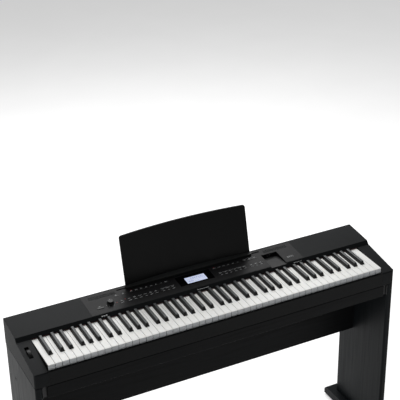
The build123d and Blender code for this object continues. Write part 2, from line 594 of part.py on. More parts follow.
with BuildPart() as wheel_axle:
    rod(WHEEL_X, WHEEL_Y, WHEEL_Z, 3.0, 26.0, "X")
    for sx in (-1, 1):
        a, b = sorted((WHEEL_X + sx * 8.0, WHEEL_X + sx * 11.0))
        block(a, b, WHEEL_Y - 8, WHEEL_Y + 8, -66.0, WHEEL_Z + 6)
    block(WHEEL_X - 11, WHEEL_X + 11, WHEEL_Y - 8, WHEEL_Y + 8, -66.0, -63.0)
save(wheel_axle, "wheel_axle")

with BuildPart() as power_button:
    on_panel(POWER[0], POWER[1], POWER[2], POWER[3], -8.0, 1.4, 2.0)
save(power_button, "power_button")

for name, (v, spans) in BUTTONS.items():
    with BuildPart() as buttons:
        for u0, u1 in spans:
            on_panel(u0, u1, v - BTN_H / 2, v + BTN_H / 2, -8.0, 1.0)
    save(buttons, name)
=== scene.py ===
import math
import random

import bmesh
import bpy
from mathutils import Matrix, Vector


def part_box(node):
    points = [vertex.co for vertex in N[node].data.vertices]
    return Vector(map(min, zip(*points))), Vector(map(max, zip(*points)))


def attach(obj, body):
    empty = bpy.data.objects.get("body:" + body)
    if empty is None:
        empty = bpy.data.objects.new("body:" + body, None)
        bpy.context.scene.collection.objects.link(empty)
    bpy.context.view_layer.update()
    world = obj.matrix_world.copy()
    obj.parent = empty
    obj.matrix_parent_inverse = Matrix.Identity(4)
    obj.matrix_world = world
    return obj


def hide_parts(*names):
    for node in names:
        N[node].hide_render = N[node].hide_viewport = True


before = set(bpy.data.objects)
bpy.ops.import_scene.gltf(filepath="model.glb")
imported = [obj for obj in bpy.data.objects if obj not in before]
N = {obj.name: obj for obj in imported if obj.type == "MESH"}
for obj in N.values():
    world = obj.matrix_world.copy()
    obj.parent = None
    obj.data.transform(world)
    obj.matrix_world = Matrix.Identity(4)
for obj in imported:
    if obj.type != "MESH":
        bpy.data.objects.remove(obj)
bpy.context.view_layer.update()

MM = 0.001
random.seed(7)

# ---- the keyboard's own coordinates, millimetres ---------------------------
# x = 0 at the middle of the keyboard, y = 0 at the key fronts, z = 0 at the
# white key tops.  The pivot rod lies at y = 225, z = -8.
_lo, _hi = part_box("key_pivot_rod")
Y0 = 225.0 - (_lo.y + _hi.y) * 500.0
Z0 = (_lo.z + _hi.z) * 500.0 + 8.0


def W(x, y, z):
    return Vector((x, y - Y0, z + Z0)) * MM


PANEL_Y, PANEL_Z = 163.0, 16.0
TOP_REAR_Y, TOP_REAR_Z = 276.0, 25.4
SLOPE = math.atan2(TOP_REAR_Z - PANEL_Z, TOP_REAR_Y - PANEL_Y)
CS, SN = math.cos(SLOPE), math.sin(SLOPE)
PNORM = Vector((0, -SN, CS))


def v_of(y):
    return (y - PANEL_Y) / CS


def P(u, v, h=0.0):
    """A point on the sloped top: u across, v up the slope, h off it."""
    return W(u, PANEL_Y + v * CS - h * SN, PANEL_Z + v * SN + h * CS)


# ---- materials --------------------------------------------------------------
def lin(hexcode):
    out = []
    for i in (0, 2, 4):
        c = int(hexcode[i:i + 2], 16) / 255.0
        out.append(c / 12.92 if c <= 0.04045 else ((c + 0.055) / 1.055) ** 2.4)
    return (*out, 1.0)


class Mat:
    """A small helper round a Principled material."""

    def __init__(self, name, rough=0.5, **sockets):
        self.m = bpy.data.materials.new(name)
        self.m.use_nodes = True
        self.nt = self.m.node_tree
        self.nt.nodes.clear()
        self.out = self.nt.nodes.new("ShaderNodeOutputMaterial")
        self.b = self.nt.nodes.new("ShaderNodeBsdfPrincipled")
        self.nt.links.new(self.b.outputs[0], self.out.inputs[0])
        self.tc = self.nt.nodes.new("ShaderNodeTexCoord")
        self.b.inputs["Roughness"].default_value = rough
        for k, v in sockets.items():
            self.b.inputs[k.replace("_", " ")].default_value = v
        self._bump = None

    def link(self, a, b):
        self.nt.links.new(a, b)

    def noise(self, scale, detail=4.0, rough=0.55, distortion=0.0, src=None):
        mp = self.nt.nodes.new("ShaderNodeMapping")
        mp.inputs["Scale"].default_value = scale
        self.link(self.tc.outputs["Object"], mp.inputs["Vector"])
        if src is not None:
            self.link(src, mp.inputs["Vector"])
        n = self.nt.nodes.new("ShaderNodeTexNoise")
        n.inputs["Scale"].default_value = 1.0
        n.inputs["Detail"].default_value = detail
        n.inputs["Roughness"].default_value = rough
        n.inputs["Distortion"].default_value = distortion
        self.link(mp.outputs[0], n.inputs["Vector"])
        return n.outputs["Fac"]

    def voronoi(self, scale):
        mp = self.nt.nodes.new("ShaderNodeMapping")
        mp.inputs["Scale"].default_value = scale
        self.link(self.tc.outputs["Object"], mp.inputs["Vector"])
        n = self.nt.nodes.new("ShaderNodeTexVoronoi")
        n.inputs["Scale"].default_value = 1.0
        self.link(mp.outputs[0], n.inputs["Vector"])
        return n.outputs["Distance"]

    def ramp(self, fac, stops):
        r = self.nt.nodes.new("ShaderNodeValToRGB")
        el = r.color_ramp.elements
        while len(el) < len(stops):
            el.new(0.5)
        for e, (p, c) in zip(el, stops):
            e.position = p
            e.color = c
        self.link(fac, r.inputs[0])
        return r.outputs[0]

    def mix(self, fac, a, b, mode="MIX"):
        m = self.nt.nodes.new("ShaderNodeMix")
        m.data_type = "RGBA"
        m.blend_type = mode
        for sock, v in ((m.inputs[0], fac), (m.inputs[6], a), (m.inputs[7], b)):
            if hasattr(v, "is_output"):
                self.link(v, sock)
            elif isinstance(v, (int, float)):
                sock.default_value = v
            else:
                sock.default_value = v
        return m.outputs[2]

    def remap(self, fac, lo, hi, a=0.0, b=1.0):
        m = self.nt.nodes.new("ShaderNodeMapRange")
        m.inputs["From Min"].default_value = lo
        m.inputs["From Max"].default_value = hi
        m.inputs["To Min"].default_value = a
        m.inputs["To Max"].default_value = b
        self.link(fac, m.inputs["Value"])
        return m.outputs[0]

    def add(self, a, b, op="ADD"):
        m = self.nt.nodes.new("ShaderNodeMath")
        m.operation = op
        for sock, v in ((m.inputs[0], a), (m.inputs[1], b)):
            if hasattr(v, "is_output"):
                self.link(v, sock)
            else:
                sock.default_value = v
        return m.outputs[0]

    def colour(self, c):
        if hasattr(c, "is_output"):
            self.link(c, self.b.inputs["Base Color"])
        else:
            self.b.inputs["Base Color"].default_value = c

    def roughness(self, r):
        self.link(r, self.b.inputs["Roughness"])

    def bump(self, height, distance, strength=1.0):
        n = self.nt.nodes.new("ShaderNodeBump")
        n.inputs["Strength"].default_value = strength
        n.inputs["Distance"].default_value = distance
        self.link(height, n.inputs["Height"])
        if self._bump is not None:
            self.link(self._bump, n.inputs["Normal"])
        self._bump = n.outputs[0]
        self.link(self._bump, self.b.inputs["Normal"])


def grained_plastic(name, a, b, rough=0.5, grain=1500.0, depth=0.00004, spec=0.5):
    """Moulded plastic with a fine leather-like grain and faint cloudiness."""
    m = Mat(name, rough)
    m.b.inputs["Specular IOR Level"].default_value = spec
    cloud = m.noise((6, 6, 6), 3)
    fine = m.noise((grain, grain, grain), 3, 0.6)
    col = m.mix(m.remap(cloud, 0.3, 0.7), lin(a), lin(b))
    col = m.mix(m.remap(fine, 0.35, 0.7, 0.0, 0.25), col, lin("000000"), "MIX")
    m.colour(col)
    m.roughness(m.remap(fine, 0.3, 0.7, rough - 0.06, rough + 0.08))
    cell = m.voronoi((grain * 0.55, grain * 0.55, grain * 0.55))
    m.bump(m.add(cell, m.add(fine, 0.6, "MULTIPLY")), depth, 0.6)
    return m.m


def wood_laminate(name, dark, light, along, rough=0.42):
    """Dark printed wood grain; along is the axis that the grain runs on."""
    m = Mat(name, rough)
    m.b.inputs["Specular IOR Level"].default_value = 0.07
    def sc(l, c):
        return tuple(l if i == along else c for i in range(3))
    wav = m.noise(sc(1.6, 26), 3, 0.5, 0.6)
    mid = m.noise(sc(5, 150), 5, 0.6, 0.4)
    pore = m.noise(sc(28, 1100), 3, 0.6)
    g = m.add(m.add(wav, 0.55, "MULTIPLY"), m.add(mid, 0.45, "MULTIPLY"))
    col = m.ramp(g, [(0.34, lin(dark)), (0.5, lin(light)), (0.66, lin(dark))])
    col = m.mix(m.remap(pore, 0.55, 0.75, 0.0, 0.55), col, lin("101112"))
    m.colour(col)
    m.roughness(m.remap(mid, 0.3, 0.7, rough - 0.06, rough + 0.1))
    m.bump(m.add(pore, m.add(mid, 0.5, "MULTIPLY")), 0.00006, 0.5)
    return m.m


def hairline(name, a, b, rough=0.38):
    """Satin panel with fine lines brushed along X."""
    m = Mat(name, rough)
    line = m.noise((9, 2600, 2600), 3, 0.6)
    broad = m.noise((3, 300, 300), 3)
    col = m.mix(m.remap(line, 0.3, 0.7), lin(a), lin(b))
    m.colour(m.mix(m.remap(broad, 0.35, 0.65, 0.0, 0.3), col, lin("0c0c0e")))
    m.roughness(m.remap(line, 0.3, 0.7, rough - 0.08, rough + 0.1))
    m.bump(line, 0.000025, 0.5)
    return m.m


def plain(name, a, b, rough, scale=40.0, **kw):
    """Smooth finish with slight variation in colour and gloss."""
    m = Mat(name, rough, **kw)
    n = m.noise((scale, scale, scale), 4)
    m.colour(m.mix(m.remap(n, 0.3, 0.7), lin(a), lin(b)))
    m.roughness(m.remap(n, 0.3, 0.7, max(0.02, rough - 0.04), rough + 0.05))
    return m.m


def metal(name, c, rough=0.3):
    m = Mat(name, rough, Metallic=1.0)
    n = m.noise((900, 60, 900), 3)
    m.colour(m.mix(m.remap(n, 0.3, 0.7), lin(c), lin("8f9193")))
    m.roughness(m.remap(n, 0.3, 0.7, rough - 0.08, rough + 0.12))
    m.bump(n, 0.00001, 0.4)
    return m.m


M = {}
M["case"] = grained_plastic("case_grey_grain", "151718", "1a1c1e", 0.55, spec=0.1)
M["cheek"] = M["case"]
# darker copy of the case plastic for the front rail, underside, jack panel and grille bed: painted shade on faces
# turned from the light
M["case_painted_shade"] = grained_plastic("case_grain_painted_shade", "0d0e0e", "111213", 0.55, spec=0.12)
M["panel"] = hairline("panel_hairline", "0b0b0c", "131315")
M["panel"].node_tree.nodes["Principled BSDF"].inputs["Specular IOR Level"].default_value = 0.1
M["recess"] = grained_plastic("recess_black", "0c0c0d", "111113", 0.5, 1800, 0.00002, 0.25)
# darker copy of the stand laminate for the front and rear boards: painted shade of faces turned from the light
M["stand_x_painted_shade"] = wood_laminate("laminate_grain_x_painted_shade", "090a0a", "111213", 0)
M["stand_z"] = wood_laminate("laminate_grain_z", "0f1113", "181b1d", 2)
M["rubber"] = grained_plastic("rubber_black", "151515", "1c1c1c", 0.8, 900, 0.00005, 0.3)
M["steel_black"] = grained_plastic("powder_coat", "141516", "1b1c1d", 0.5, 1200, 0.00003)
M["steel"] = metal("zinc_steel", "b4b6b8")
M["rest"] = plain("polished_black", "050606", "080909", 0.2, 8.0)
M["rest"].node_tree.nodes["Principled BSDF"].inputs["Specular IOR Level"].default_value = 0.14
M["bezel"] = plain("display_glass", "030304", "050506", 0.12, 8.0)
M["bezel"].node_tree.nodes["Principled BSDF"].inputs["Specular IOR Level"].default_value = 0.25
M["green"] = plain("circuit_green", "0f4d28", "155c31", 0.35, 60)
M["grey_metal"] = metal("action_metal", "8c8f92", 0.4)
M["print"] = plain("print_white", "c9cccd", "dfe1e2", 0.55, 600)
M["print_red"] = plain("print_red", "c22a1e", "d33a2c", 0.55, 600)
M["control"] = grained_plastic("control_black", "0b0c0d", "101112", 0.4, 2000, 0.000015, 0.3)
M["grille"] = grained_plastic("grille_grey", "1a1c1d", "212324", 0.5, 700, 0.00008, 0.2)
M["ledge"] = grained_plastic("rest_ledge_grey", "1e2020", "262828", 0.45, 700, 0.00008, 0.2)
# near-black for the stand slot: painted shade; not assigned to any part
M["slot_dark"] = plain("slot_black_painted_shade", "050506", "08080a", 0.7, 50)


def make_felt():
    m = Mat("felt_red", 0.95)
    m.b.inputs["Sheen Weight"].default_value = 0.6
    fz = m.noise((1600, 1600, 1600), 4, 0.7)
    fib = m.noise((300, 2200, 2200), 3, 0.6)
    # red felt darkened to stand in for the shadow under the fallboard: partly real colour, partly painted shade
    m.colour(m.mix(m.remap(fz, 0.3, 0.7), lin("4a0d10"), lin("7a1a1e")))
    m.bump(m.add(fz, fib), 0.0002, 0.8)
    return m.m


M["felt"] = make_felt()


def make_white(name, a, b, c, rough, front=False):
    """Ivory-like key top: faint pale streaks along the key, tiny pores."""
    m = Mat(name, rough)
    m.b.inputs["Subsurface Weight"].default_value = 0.08
    m.b.inputs["Subsurface Radius"].default_value = (0.004, 0.0035, 0.003)
    m.b.inputs["Subsurface Scale"].default_value = 0.3
    m.b.inputs["Specular IOR Level"].default_value = 0.45
    if front:
        st = m.noise((60, 60, 900), 4, 0.6, 0.5)
    else:
        st = m.noise((700, 22, 300), 4, 0.6, 0.5)
    fine = m.noise((2200, 900, 2200), 2)
    col = m.ramp(st, [(0.3, lin(a)), (0.5, lin(b)), (0.7, lin(c))])
    m.colour(m.mix(m.remap(fine, 0.6, 0.8, 0.0, 0.12), col, lin("a9a79f")))
    m.roughness(m.remap(st, 0.3, 0.7, rough - 0.05, rough + 0.08))
    m.bump(m.add(fine, m.add(st, 0.6, "MULTIPLY")), 0.000018, 0.5)
    return m.m


M["white"] = make_white("key_white_grain", "efefec", "f3f3f0", "ebebe7", 0.34)
# darker copy of the key white for the front lips: painted shade of the front faces
M["white_front_painted_shade"] = make_white("key_white_front", "b4b7b9", "c6c9cb", "9da1a4", 0.5, True)
# dark key bodies so the gaps between keys read dark: painted shade between parts
M["key_body_painted_shade"] = make_white("key_body_painted_shade", "2e2c29", "36332f", "262422", 0.7)


def make_black(name, a, b, c, rough):
    """Ebony-like key: soft streaks along the key on a matte dark ground."""
    m = Mat(name, rough)
    st = m.noise((520, 16, 420), 5, 0.62, 0.7)
    fine = m.noise((2400, 120, 2400), 3, 0.6)
    col = m.ramp(st, [(0.32, lin(a)), (0.52, lin(b)), (0.72, lin(c))])
    m.colour(m.mix(m.remap(fine, 0.5, 0.75, 0.0, 0.35), col, lin("101010")))
    m.roughness(m.remap(st, 0.3, 0.7, rough - 0.08, rough + 0.1))
    m.bump(m.add(fine, m.add(st, 0.7, "MULTIPLY")), 0.00003, 0.6)
    return m.m


M["black"] = make_black("key_black_grain", "0a0a0a", "111111", "161615", 0.5)
# lighter copy of the key black for the top faces: painted light; the next, paler still, is a painted highlight on the
# shoulders
M["black_top_painted_light"] = make_black("key_black_top", "26282a", "3b3f40", "33332f", 0.45)
M["black_edge_painted_highlight"] = make_black("key_black_edge", "3c3f40", "5a5e60", "33363a", 0.5)


def make_screen():
    m = Mat("display_glow", 0.2)
    n = m.noise((60, 60, 60), 2)
    c = m.mix(m.remap(n, 0.3, 0.7), lin("c3cdea"), lin("d3dbf2"))
    m.colour(c)
    m.link(c, m.b.inputs["Emission Color"])
    m.b.inputs["Emission Strength"].default_value = 0.55
    return m.m


M["screen"] = make_screen()
M["screen_ink"] = plain("display_ink", "5c6a92", "6b79a2", 0.4, 100)


# ---- mesh helpers -----------------------------------------------------------
def to_object(bm, name, mats, body, replaces=None, bevel=0.0, segs=2, angle=35.0, smooth=True,
              edge_mat=None):
    bmesh.ops.recalc_face_normals(bm, faces=bm.faces)
    me = bpy.data.meshes.new(name)
    bm.to_mesh(me)
    bm.free()
    for m in mats:
        me.materials.append(M[m] if isinstance(m, str) else m)
    o = bpy.data.objects.new(name, me)
    bpy.context.scene.collection.objects.link(o)
    for p in me.polygons:
        p.use_smooth = smooth
    if bevel > 0:
        b = o.modifiers.new("edges", "BEVEL")
        b.width = bevel * MM
        b.segments = segs
        b.limit_method = "ANGLE"
        b.angle_limit = math.radians(angle)
        b.harden_normals = True
        if edge_mat is not None:
            b.material = edge_mat
    if replaces:
        for r in replaces if isinstance(replaces, (list, tuple)) else [replaces]:
            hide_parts(r)
    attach(o, body)
    return o


def add_prism(bm, pts, lift, mat=0):
    """Closed prism: pts is a ring of Vectors, lift the Vector to the other end."""
    a = [bm.verts.new(p) for p in pts]
    b = [bm.verts.new(p + lift) for p in pts]
    n = len(pts)
    fs = [bm.faces.new(a[::-1]), bm.faces.new(b)]
    for i in range(n):
        fs.append(bm.faces.new((a[i], a[(i + 1) % n], b[(i + 1) % n], b[i])))
    for f in fs:
        f.material_index = mat
    return fs


def add_block(bm, x0, x1, y0, y1, z0, z1, mat=0):
    return add_prism(bm, [W(x0, y0, z0), W(x1, y0, z0), W(x1, y1, z0), W(x0, y1, z0)],
                     Vector((0, 0, (z1 - z0) * MM)), mat)


def rounded(u0, u1, v0, v1, r, n=5):
    pts = []
    for cu, cv, a0 in ((u1 - r, v0 + r, -90), (u1 - r, v1 - r, 0), (u0 + r, v1 - r, 90), (u0 + r, v0 + r, 180)):
        for i in range(n + 1):
            a = math.radians(a0 + 90.0 * i / n)
            pts.append((cu + r * math.cos(a), cv + r * math.sin(a)))
    return pts


def add_panel_block(bm, u0, u1, v0, v1, h0, h1, r=0.0, mat=0, n=5):
    pts = rounded(u0, u1, v0, v1, r, n) if r > 0 else [(u0, v0), (u1, v0), (u1, v1), (u0, v1)]
    return add_prism(bm, [P(u, v, h0) for u, v in pts], PNORM * ((h1 - h0) * MM), mat)


def lathe(bm, centre, axis, side, profile, n=64, mat=0, ripple=None):
    """profile: (radius, height) pairs from the axis outwards and back to it."""
    up = axis.normalized()
    s = (side - up * side.dot(up)).normalized()
    t = up.cross(s)
    rings = []
    for k, (r, h) in enumerate(profile):
        if r < 1e-6:
            rings.append([bm.verts.new(centre + up * (h * MM))])
            continue
        ring = []
        for i in range(n):
            a = 2 * math.pi * i / n
            rr = r + (ripple(k, i) if ripple else 0.0)
            ring.append(bm.verts.new(centre + (s * math.cos(a) + t * math.sin(a)) * (rr * MM) + up * (h * MM)))
        rings.append(ring)
    for a, b in zip(rings, rings[1:]):
        if len(a) == 1 and len(b) == 1:
            continue
        for i in range(n):
            j = (i + 1) % n
            if len(a) == 1:
                f = bm.faces.new((a[0], b[i], b[j]))
            elif len(b) == 1:
                f = bm.faces.new((a[i], b[0], a[j]))
            else:
                f = bm.faces.new((a[i], b[i], b[j], a[j]))
            f.material_index = mat


def cad_look(node, material, bevel=0.3, segs=2, angle=28.0, dissolve=1.0):
    """Finish on a CAD node that stays: its own shape with its edges broken."""
    o = N[node]
    me = o.data
    me.materials.clear()
    me.materials.append(M[material])
    for p in me.polygons:
        p.material_index = 0
        p.use_smooth = True
    for an in ("custom_normal",):
        a = me.attributes.get(an)
        if a is not None:
            me.attributes.remove(a)
    w = o.modifiers.new("weld", "WELD")
    w.merge_threshold = 1e-5
    if dissolve > 0:
        d = o.modifiers.new("flats", "DECIMATE")
        d.decimate_type = "DISSOLVE"
        d.angle_limit = math.radians(dissolve)
    if bevel > 0:
        b = o.modifiers.new("edges", "BEVEL")
        b.width = bevel * MM
        b.segments = segs
        b.limit_method = "ANGLE"
        b.angle_limit = math.radians(angle)
        b.harden_normals = True
    else:
        e = o.modifiers.new("split", "EDGE_SPLIT")
        e.split_angle = math.radians(angle)
    return o


# ---- CAD nodes that stay ----------------------------------------------------
for nd in ("stand_leg_left", "stand_leg_right"):
    cad_look(nd, "stand_z", 0.5)
for nd in ("stand_front_board", "stand_rear_board"):
    cad_look(nd, "stand_x_painted_shade", 0.5)
for nd in ("stand_foot_left", "stand_foot_right"):
    cad_look(nd, "stand_z", 1.2, 3)
cad_look("foot_glides", "rubber", 0.8, 3)
cad_look("support_pads", "rubber", 0.3)
cad_look("corner_brackets", "steel_black", 0.3)
cad_look("clamp_screws", "steel_black", 0.6)
cad_look("stand_bolts", "stand_z", 0.3)
for nd in ("side_cap_left", "side_cap_right"):
    cad_look(nd, "case", 0.5, 2)
cad_look("top_cover", "case", 0.35, 2)
cad_look("front_rail", "case_painted_shade", 0.3, 2)
cad_look("control_panel", "panel", 0.12, 2)
cad_look("usb_recess", "recess", 0.3, 2)
cad_look("usb_port", "steel", 0.15)
cad_look("lower_case", "case_painted_shade", 0.5)
cad_look("speaker_grilles", "steel_black", 0.25)
cad_look("jack_panel", "case_painted_shade", 0.25)
cad_look("jacks", "control", 0.2)
cad_look("case_screws", "steel", 0.3)
cad_look("key_felt", "felt", 0.3)
cad_look("stop_felts", "felt", 0.3)
cad_look("key_frame", "steel_black", 0.3)
cad_look("key_pivot_rod", "steel", 0.3)
cad_look("wheel_axle", "steel", 0.3)
cad_look("hammer_bank", "grey_metal", 0.3)
cad_look("speakers", "steel_black", 0.6)
cad_look("volume_pot", "steel", 0.2)
for nd in ("main_board", "panel_board", "contact_board"):
    cad_look(nd, "green", 0.1)
cad_look("lcd_bezel", "bezel", 0.15, 2)

# ---- white keys -------------------------------------------------------------
PITCH, COUNT, GAP = 23.5, 52, 0.9
BLACK_W, BLACK_FRONT, KEY_REAR = 13.6, 50.0, 236.0
NAMES = "ABCDEFG"
OFFSET = {"A": 4.7, "C": -3.3, "D": 3.3, "F": -4.7, "G": 0.0}
X_LEFT = -COUNT * PITCH / 2
black_at = {}
for i in range(COUNT - 1):
    n = NAMES[i % 7]
    if n in OFFSET:
        black_at[i] = X_LEFT + (i + 1) * PITCH + OFFSET[n]
whites, blacks = {}, {}
for i in range(COUNT):
    n = NAMES[i % 7]
    xl = X_LEFT + i * PITCH + GAP / 2
    xr = xl + PITCH - GAP
    rl = max(xl, black_at[i - 1] + BLACK_W / 2 + 0.9) if i - 1 in black_at else xl
    rr = min(xr, black_at[i] - BLACK_W / 2 - 0.9) if i in black_at else xr
    whites.setdefault(n, []).append((xl, xr, rl, rr))
    if i in black_at:
        blacks.setdefault(n, []).append(black_at[i])


def key_outline(xl, xr, rl, rr, y0, y1, notch=48.5, inset=0.0, rc=0.7, ri=1.6):
    """Plan of a white key: rounded front corners and rounded notches."""
    xl, xr, rl, rr = xl + inset, xr - inset, rl + inset, rr - inset
    y0 += inset
    pts = []

    def arc(cx, cy, r, a0, a1, n=4):
        for k in range(n + 1):
            a = math.radians(a0 + (a1 - a0) * k / n)
            pts.append((cx + r * math.cos(a), cy + r * math.sin(a)))
    arc(xl + rc, y0 + rc, rc, 180, 270)
    arc(xr - rc, y0 + rc, rc, 270, 360)
    if rr < xr - 0.1:
        arc(xr - rc, notch - rc, rc, 0, 90)
        arc(rr + ri, notch + ri, ri, 270, 180)
    pts.append((rr, y1))
    pts.append((rl, y1))
    if rl > xl + 0.1:
        arc(rl - ri, notch + ri, ri, 0, -90)
        arc(xl + rc, notch - rc, rc, 90, 180)
    return pts


for n in NAMES:
    bm = bmesh.new()
    for xl, xr, rl, rr in whites[n]:
        top = key_outline(xl, xr, rl, rr, 0.0, KEY_REAR - 0.3, inset=0.12)
        add_prism(bm, [W(x, y, -2.4) for x, y in top], Vector((0, 0, 2.4 * MM)), 0)
        body = key_outline(xl, xr, rl, rr, 2.2, KEY_REAR, inset=0.9)
        add_prism(bm, [W(x, y, -15.0) for x, y in body], Vector((0, 0, 12.8 * MM)), 2)
        fr = rounded(xl + 0.25, xr - 0.25, 0.35, 2.9, 0.5, 3)
        add_prism(bm, [W(x, y, -20.0) for x, y in fr], Vector((0, 0, 17.8 * MM)), 1)
    to_object(bm, "white_keys_" + n, ["white", "white_front_painted_shade", "key_body_painted_shade"], "key_group_" + n.lower(),
              "keys_" + n.lower(), 0.4, 3, 40)


# ---- black keys -------------------------------------------------------------
def black_ring(xc, y, ztop, wt, wb, zb, r=1.3, crown=0.25):
    """Cross-section across a black key at y: tapering sides, rounded shoulders."""
    r = max(0.05, min(r, (ztop - zb) * 0.45))
    pts = [(xc - wb, zb), (xc - wt - 0.02, ztop - r)]
    for k in range(1, 5):
        a = math.radians(180 - 90 * k / 4)
        pts.append((xc - wt + r + r * math.cos(a), ztop - crown - r * (1 - math.sin(a)) + crown * k / 4 * 0.6))
    pts.append((xc, ztop))
    for k in range(0, 4):
        a = math.radians(90 - 90 * k / 4)
        pts.append((xc + wt - r + r * math.cos(a), ztop - crown - r * (1 - math.sin(a)) + crown * (4 - k) / 4 * 0.6))
    pts += [(xc + wt + 0.02, ztop - r), (xc + wb, zb)]
    return [W(px, y, pz) for px, pz in pts]


for n in sorted(blacks):
    bm = bmesh.new()
    for xc in blacks[n]:
        wb, wt = BLACK_W / 2, BLACK_W / 2 - 2.09
        stations = [(50.15, 0.9, 0.6, 0.0), (50.7, 2.6, 0.9, 0.05), (52.4, 6.3, 1.1, 0.1), (54.3, 10.0, 1.3, 0.15),
                    (55.3, 11.15, 1.5, 0.2), (56.8, 11.75, 1.6, 0.25), (59.5, 11.95, 1.5, 0.25), (80, 12.0, 1.4, 0.25),
                    (110, 12.0, 1.4, 0.25), (147.6, 12.0, 1.4, 0.25), (148.9, 11.8, 1.4, 0.2), (149.7, 11.0, 1.2, 0.1)]
        rings = []
        for y, zt, r, cr in stations:
            k = max(0.0, min(1.0, (zt + 2.0) / 14.0))
            w = wb - (wb - wt) * k
            rings.append([bm.verts.new(p) for p in black_ring(xc, y, zt, w - 0.03, wb, -2.0, r, cr)])
        m = len(rings[0])
        bm.faces.new(rings[0][::-1])
        bm.faces.new(rings[-1])
        for a, b in zip(rings, rings[1:]):
            for k in range(m - 1):
                bm.faces.new((a[k], a[k + 1], b[k + 1], b[k]))
            bm.faces.new((a[m - 1], a[0], b[0], b[m - 1]))
        # lower body of the key; the pale shoulders set below are a painted highlight
        add_prism(bm, [W(xc - wb + 0.1, BLACK_FRONT + 0.1, -15.0), W(xc + wb - 0.1, BLACK_FRONT + 0.1, -15.0),
                       W(xc + wb - 0.1, KEY_REAR, -15.0), W(xc - wb + 0.1, KEY_REAR, -15.0)],
                  Vector((0, 0, 13.05 * MM)), 0)
    # faces sorted by direction: tops get a lighter copy of the black (painted light), sloped shoulders a paler one
    # (painted highlight)
    bm.faces.ensure_lookup_table()
    for f in bm.faces:
        cz = sum((v.co.z for v in f.verts)) / len(f.verts) / MM - Z0
        nx = abs(f.normal.x) if f.normal.length else 0
        f.normal_update()
        nx, nz = abs(f.normal.x), f.normal.z
        if cz > 8.0 and nx < 0.3 and nz > 0.6:
            f.material_index = 2
        elif cz > 8.5 and 0.25 < nx < 0.95 and nz > 0.2:
            f.material_index = 1
    to_object(bm, "black_keys_" + n, ["black", "black_edge_painted_highlight", "black_top_painted_light"], "key_group_" + n.lower() + "_sharp",
              "keys_" + n.lower() + "_sharp", 0.25, 2, 50)

# ---- music rest -------------------------------------------------------------
REST_HALF, REST_T, LEAN = 237.0, 4.0, math.radians(12.5)
LEDGE_H = 7.0
_rlo, _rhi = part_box("music_rest")
REST_FRONT_Y = _rlo.y / MM + Y0
VE, VM = v_of(265.5), v_of(277.0)
ARCH, CORNER = 2.2, 9.0
Z_TOP = _rhi.z / MM - Z0
Z_CORNER = Z_TOP - ARCH


def arc_v(x, xe, ve, vm):
    """Height above the chord ends of the circle through (+-xe, ve) and (0, vm)."""
    s = vm - ve
    R = (xe * xe + s * s) / (2 * s)
    return vm - R + math.sqrt(R * R - x * x)


def rest_point(x, t, back):
    """Point on the board: t = 0 at the ledge, 1 at the top edge."""
    v = arc_v(x, REST_HALF + 4, VE - 1.1, VM) + (REST_T if back else 0.0)
    base = P(x, v, 6.3)
    yb, zb = base.y / MM + Y0, base.z / MM - Z0
    ax = abs(x)
    if ax > REST_HALF - CORNER:
        d = min(CORNER, ax - (REST_HALF - CORNER))
        zt = Z_CORNER - CORNER + math.sqrt(max(0.0, CORNER * CORNER - d * d))
    else:
        s = ARCH
        xe = REST_HALF - CORNER
        R = (xe * xe + s * s) / (2 * s)
        zt = Z_CORNER + s - R + math.sqrt(R * R - x * x)
    z = zb + (zt - zb) * t
    return W(x, yb + (z - zb) * math.tan(LEAN), z)


bm = bmesh.new()
xs = []
for k in range(9):
    xs.append(-REST_HALF + CORNER * (1 - math.cos(math.pi / 2 * k / 8)))
xs += [-REST_HALF + CORNER + (2 * (REST_HALF - CORNER)) * k / 56 for k in range(1, 56)]
xs += [-q for q in xs[8::-1]]
ts = [0.0, 0.25, 0.5, 0.75, 0.93, 1.0]
front = [[bm.verts.new(rest_point(x, t, False)) for t in ts] for x in xs]
back = [[bm.verts.new(rest_point(x, t, True)) for t in ts] for x in xs]
nx, nt_ = len(xs), len(ts)
for i in range(nx - 1):
    for j in range(nt_ - 1):
        bm.faces.new((front[i][j], front[i + 1][j], front[i + 1][j + 1], front[i][j + 1]))
        bm.faces.new((back[i + 1][j], back[i][j], back[i][j + 1], back[i + 1][j + 1]))
    bm.faces.new((front[i][-1], front[i + 1][-1], back[i + 1][-1], back[i][-1]))
    bm.faces.new((front[i + 1][0], front[i][0], back[i][0], back[i + 1][0]))
for e in (0, nx - 1):
    for j in range(nt_ - 1):
        q = (front[e][j], front[e][j + 1], back[e][j + 1], back[e][j])
        bm.faces.new(q if e == 0 else q[::-1])
# ledge: straight front with rounded corners, rear edge following the board
lv0 = v_of(REST_FRONT_Y + 0.0) + 0.35
ring = []
rc = 5.0
for cu, a0 in ((-REST_HALF - 2 + rc, 180), (REST_HALF + 2 - rc, 270)):
    for k in range(7):
        a = math.radians(a0 + 90 * k / 6)
        ring.append((cu + rc * math.cos(a), lv0 + rc + rc * math.sin(a)))
for k in range(49):
    x = (REST_HALF + 2) * (1 - 2 * k / 48)
    ring.append((x, arc_v(x, REST_HALF + 2, VE + 2, VM + 2)))
add_prism(bm, [P(u, v, 0.3) for u, v in ring], PNORM * (LEDGE_H * MM), 1)
sv = v_of(262.0)
add_panel_block(bm, -236, 236, sv - 2.4, sv + 2.4, -7.0, 0.4)
to_object(bm, "music_rest_panel", ["rest", "ledge"], "music_stand", "music_rest", 1.1, 3, 50)

# ---- controls ---------------------------------------------------------------
BTN_H = 3.4
V_FRONT, V_REAR = v_of(199.5), v_of(232.5)


def strip(u0, u1, n):
    step = (u1 - u0) / n
    return [(u0 + i * step + 0.5, u0 + (i + 1) * step - 0.5) for i in range(n)]


